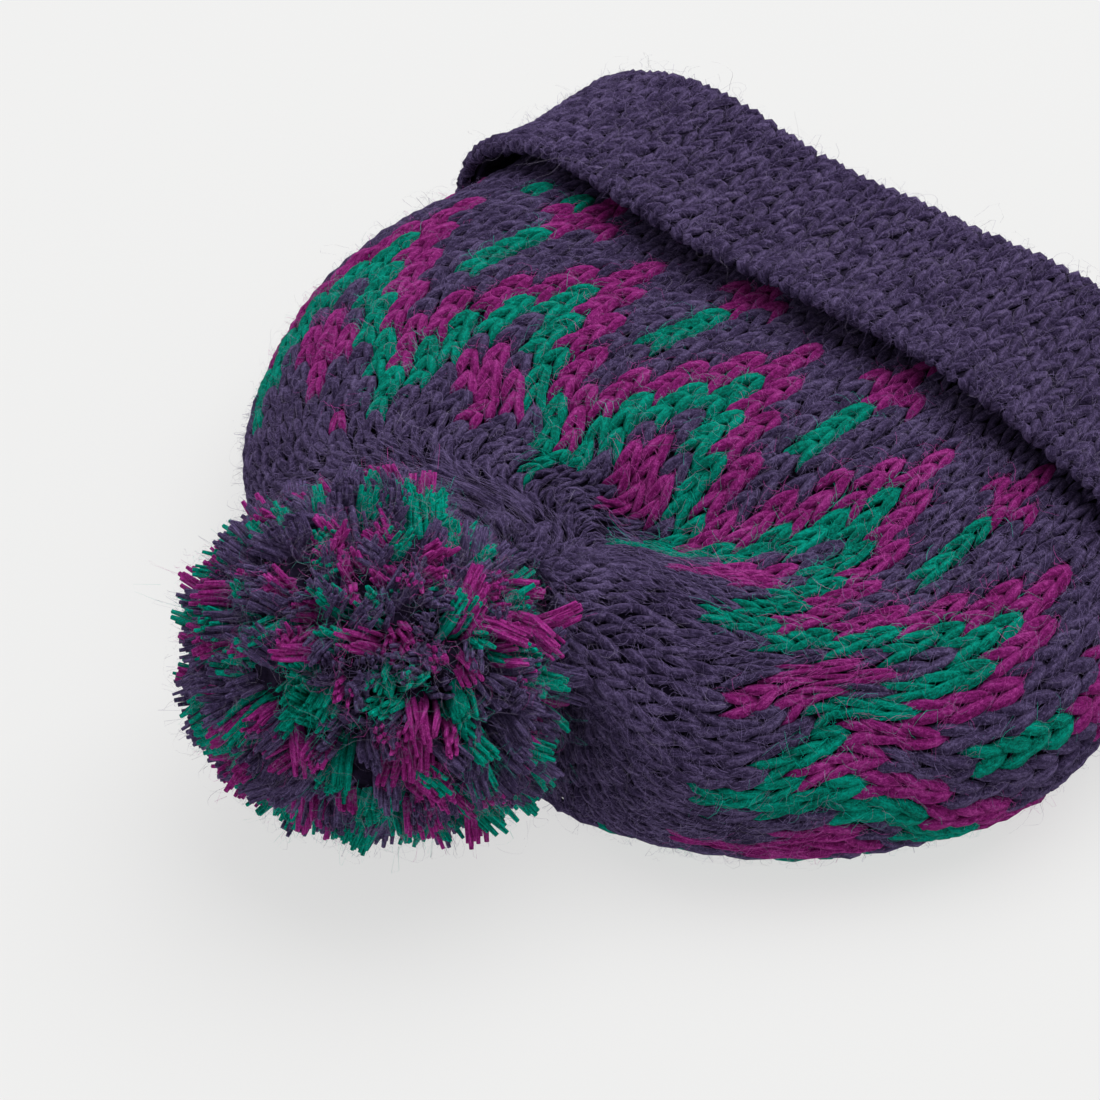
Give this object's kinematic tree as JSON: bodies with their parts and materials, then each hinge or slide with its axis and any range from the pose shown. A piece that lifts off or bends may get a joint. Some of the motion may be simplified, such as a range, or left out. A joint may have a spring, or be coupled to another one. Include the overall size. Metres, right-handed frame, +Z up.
{
  "type": "knit hat",
  "caption": "Chunky knit hat lying on its side, with a patterned crown, a turned-up cuff and a yarn pompom at its gathered end.",
  "frame": {"origin": "on the crown's flat underside, on the surface that the hat lies on, under the middle of the crown's width", "axes": "+Y from the pompom through the crown to the open mouth and the cuff, +X across the hat's flat width, +Z up from the surface that it lies on"},
  "size_m": [0.2374, 0.2407, 0.0851],
  "materials": {
    "crown_wool": "fuzzy stranded knit, purple with a magenta and green zigzag",
    "cuff_wool": "fuzzy purple knit",
    "pompom_wool": "cut yarn in purple, magenta and green",
    "tie_wool": "twisted purple yarn"
  },
  "bodies": {
    "root": {"crown": "crown_wool", "cuff": "cuff_wool", "pompom": "pompom_wool", "pompom_tie": "tie_wool"}
  },
  "joints": []
}
